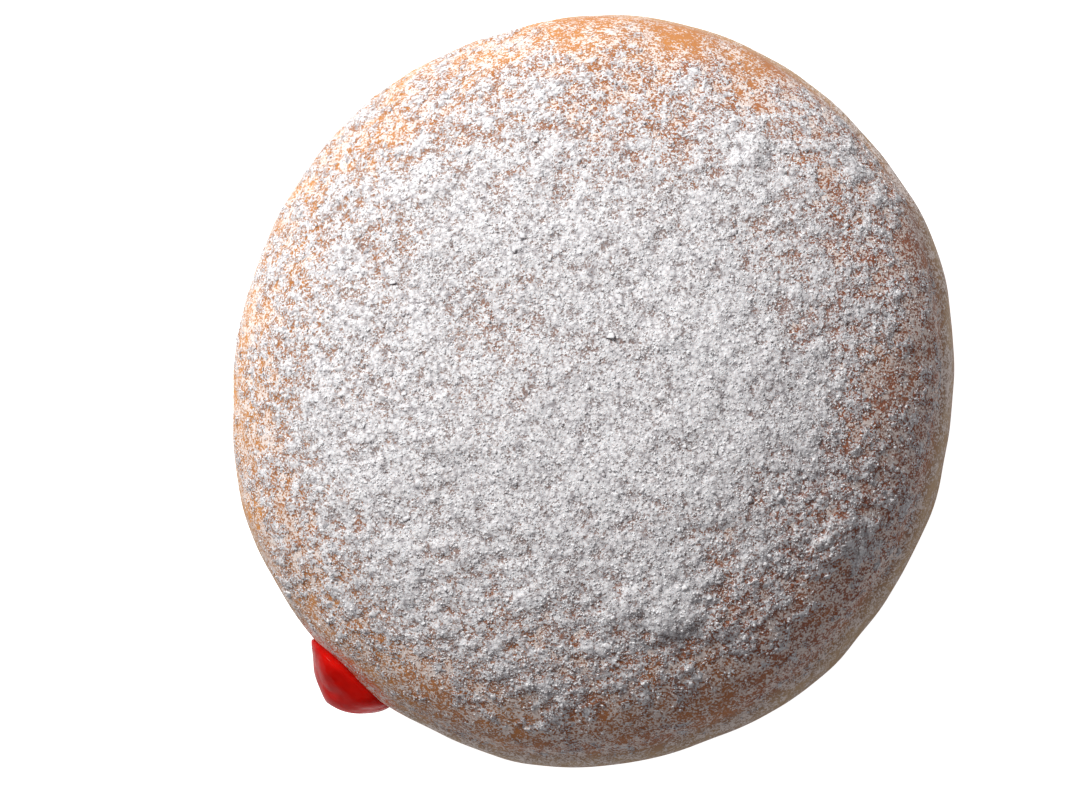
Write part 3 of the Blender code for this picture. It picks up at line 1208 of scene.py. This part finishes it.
def fried_crust():
    """Golden brown crust with a pale belt, the stain of the jam and a film of sugar."""
    material = new_material("fried crust", {"Roughness": 0.62, "Specular IOR Level": 0.35})
    tree = material.node_tree
    shader = tree.nodes["Principled BSDF"]
    place = add_node(tree, "ShaderNodeTexCoord").outputs["Object"]
    film = speck_share(tree, place, "cover", FILM_BARE_COVER, FILM_CLOSED_COVER)
    film_share = add_node(tree, "ShaderNodeMath", {0: film, 1: FILM_MOST}, operation="MULTIPLY")
    filmed = add_node(
        tree,
        "ShaderNodeMix",
        {"Factor": film_share.outputs[0], "A": stained_and_shaded_crust(tree, place), "B": linear(FILM_WHITE)},
        data_type="RGBA",
    )
    pores = add_node(
        tree, "ShaderNodeTexNoise", {"Vector": place, "Scale": 1.0 / PORE_LENGTH, "Detail": 4.0}
    )
    pored = add_node(tree, "ShaderNodeBump", {"Height": pores.outputs[0], "Distance": PORE_BUMP})
    bump = add_node(
        tree,
        "ShaderNodeBump",
        {"Height": film, "Distance": SPECK_BUMP, "Normal": pored.outputs["Normal"]},
    )
    tree.links.new(filmed.outputs[2], shader.inputs["Base Color"])
    tree.links.new(bump.outputs["Normal"], shader.inputs["Normal"])
    return material


crust.data.materials.append(fried_crust())

# %% [markdown]
# The jam was pumped in until a little came back out. It hangs at the hole as a soft blob with a
# pointed swell, wet and clear enough for light to glow inside it.
# A ball is pushed into that form: drawn in towards its sides, sagging below the middle, with low lumps
# from noise. The bun is cut out of it, so that it hugs the crust, and the neck and the pocket are
# joined on.

# %% Jam
BLOB_WIDTH = 6.45 * MM
BLOB_REACH = 4.5 * MM
BLOB_RISE = 6.2 * MM
BLOB_SAG = 1.2
BLOB_POINTEDNESS = 1.38
BLOB_LEAN = 0.12
BLOB_LUMP_DEPTH = 0.6 * MM
BLOB_LUMP_LENGTH = 4.5 * MM
BLOB_SUNK = 0.1 * MM
BLOB_NOISE_PLACE = Vector((3.1, 0.4, 7.7))


def blob_point(direction):
    """A point of the blob about its own middle: X runs round the bun, Y out from it and Z up."""
    bend = 2.0 / (BLOB_POINTEDNESS - BLOB_LEAN * direction.x)
    drawn_in = math.hypot(direction.x, direction.z) ** (bend - 1.0)
    lumpy = Vector(
        (
            direction.x * drawn_in * BLOB_WIDTH,
            math.copysign(abs(direction.y) ** bend, direction.y) * BLOB_REACH,
            direction.z * drawn_in * BLOB_RISE * (BLOB_SAG if direction.z < 0.0 else 1.0),
        )
    )
    push = BLOB_LUMP_DEPTH * noise.noise(lumpy / BLOB_LUMP_LENGTH + BLOB_NOISE_PLACE)
    return lumpy + direction * push


def jam_blob():
    """The swell of jam outside the hole, before it is trimmed against the crust."""
    shape = bmesh.new()
    bmesh.ops.create_icosphere(shape, subdivisions=6, radius=1.0)
    for vertex in shape.verts:
        vertex.co = blob_point(vertex.co.normalized())
    middle = level_way(JAM_TURN) * (outline_radius(JAM_TURN) - GAP)
    middle.z = HOLE_HEIGHT
    facing = Matrix.Rotation(JAM_TURN - math.pi / 2.0, 4, "Z")
    shape.transform(Matrix.Translation(middle + to_origin) @ facing)
    return object_from(shape, "jam_filling")


jam = jam_blob()
trimming = crust_shape(COARSE_CUTS, grown=-BLOB_SUNK)
bmesh.ops.translate(trimming, verts=trimming.verts, vec=to_origin)
boolean(jam, object_from(trimming, "trimming"), "DIFFERENCE")
boolean(jam, neck(0.0), "UNION")
boolean(jam, pocket(0.0), "UNION")
jam.data.set_sharp_from_angle(angle=SHARP_EDGE)
print("jam:", len(jam.data.polygons), "faces")

# %% [markdown]
# The jam is boiled fruit set with pectin: clear red jelly with a wet skin. Light enters it and comes
# out a little way off as deep red, which subsurface scattering gives. It is cloudy with fruit in soft
# patches, and painted light makes it brighter towards the right, where less of the lamp reaches it.
# Its skin is smooth with soft waves, so the lamp's reflection breaks up, and a bump makes those.

# %% Material: red jam
JAM_RED = "#fa1c13"
JAM_DEEP = "#b00f0a"
JAM_GLOW_DEPTH = 3.0 * MM
JAM_HALF_LENGTH = 4.5 * MM
JAM_CLOUD_LENGTH = 3.0 * MM
JAM_WAVE_LENGTH = 2.2 * MM
JAM_WAVE_DEPTH = 0.25 * MM


def red_jam():
    """Clear red fruit jelly, wet on its surface."""
    material = new_material(
        "red jam",
        {
            "Roughness": 0.1,
            "Specular IOR Level": 0.05,
            "Subsurface Weight": 0.85,
            "Subsurface Radius": (1.0, 0.06, 0.04),
            "Subsurface Scale": JAM_GLOW_DEPTH,
        },
    )
    tree = material.node_tree
    shader = tree.nodes["Principled BSDF"]
    place = add_node(tree, "ShaderNodeTexCoord").outputs["Object"]
    clouds = add_node(
        tree, "ShaderNodeTexNoise", {"Vector": place, "Scale": 1.0 / JAM_CLOUD_LENGTH, "Detail": 2.0}
    )
    # Painted light: the colour is made brighter towards the right, where less of the lamp reaches the jam.
    rightwards = level_way(JAM_TURN + math.pi / 2.0) / (2.0 * JAM_HALF_LENGTH)
    along = add_node(tree, "ShaderNodeVectorMath", {0: place, 1: rightwards}, operation="DOT_PRODUCT")
    clouds_and_painted_light = add_node(
        tree, "ShaderNodeMath", {0: clouds.outputs[0], 1: along.outputs["Value"]}, operation="ADD"
    )
    colour = add_node(
        tree,
        "ShaderNodeMix",
        {"Factor": clouds_and_painted_light.outputs[0], "A": linear(JAM_DEEP), "B": linear(JAM_RED)},
        data_type="RGBA",
    )
    waves = add_node(
        tree, "ShaderNodeTexNoise", {"Vector": place, "Scale": 1.0 / JAM_WAVE_LENGTH, "Detail": 1.0}
    )
    bump = add_node(tree, "ShaderNodeBump", {"Height": waves.outputs[0], "Distance": JAM_WAVE_DEPTH})
    tree.links.new(colour.outputs[2], shader.inputs["Base Color"])
    tree.links.new(bump.outputs["Normal"], shader.inputs["Normal"])
    return material


jam.data.materials.clear()
jam.data.materials.append(red_jam())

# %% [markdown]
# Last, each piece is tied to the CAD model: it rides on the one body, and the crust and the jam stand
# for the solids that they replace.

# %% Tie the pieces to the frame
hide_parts("dough")
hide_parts("jam")
for piece, slot in ((crust, "crust"), (jam, "jam"), *((sugar, "sugar") for sugar in sugar_pieces)):
    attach(piece, "root")
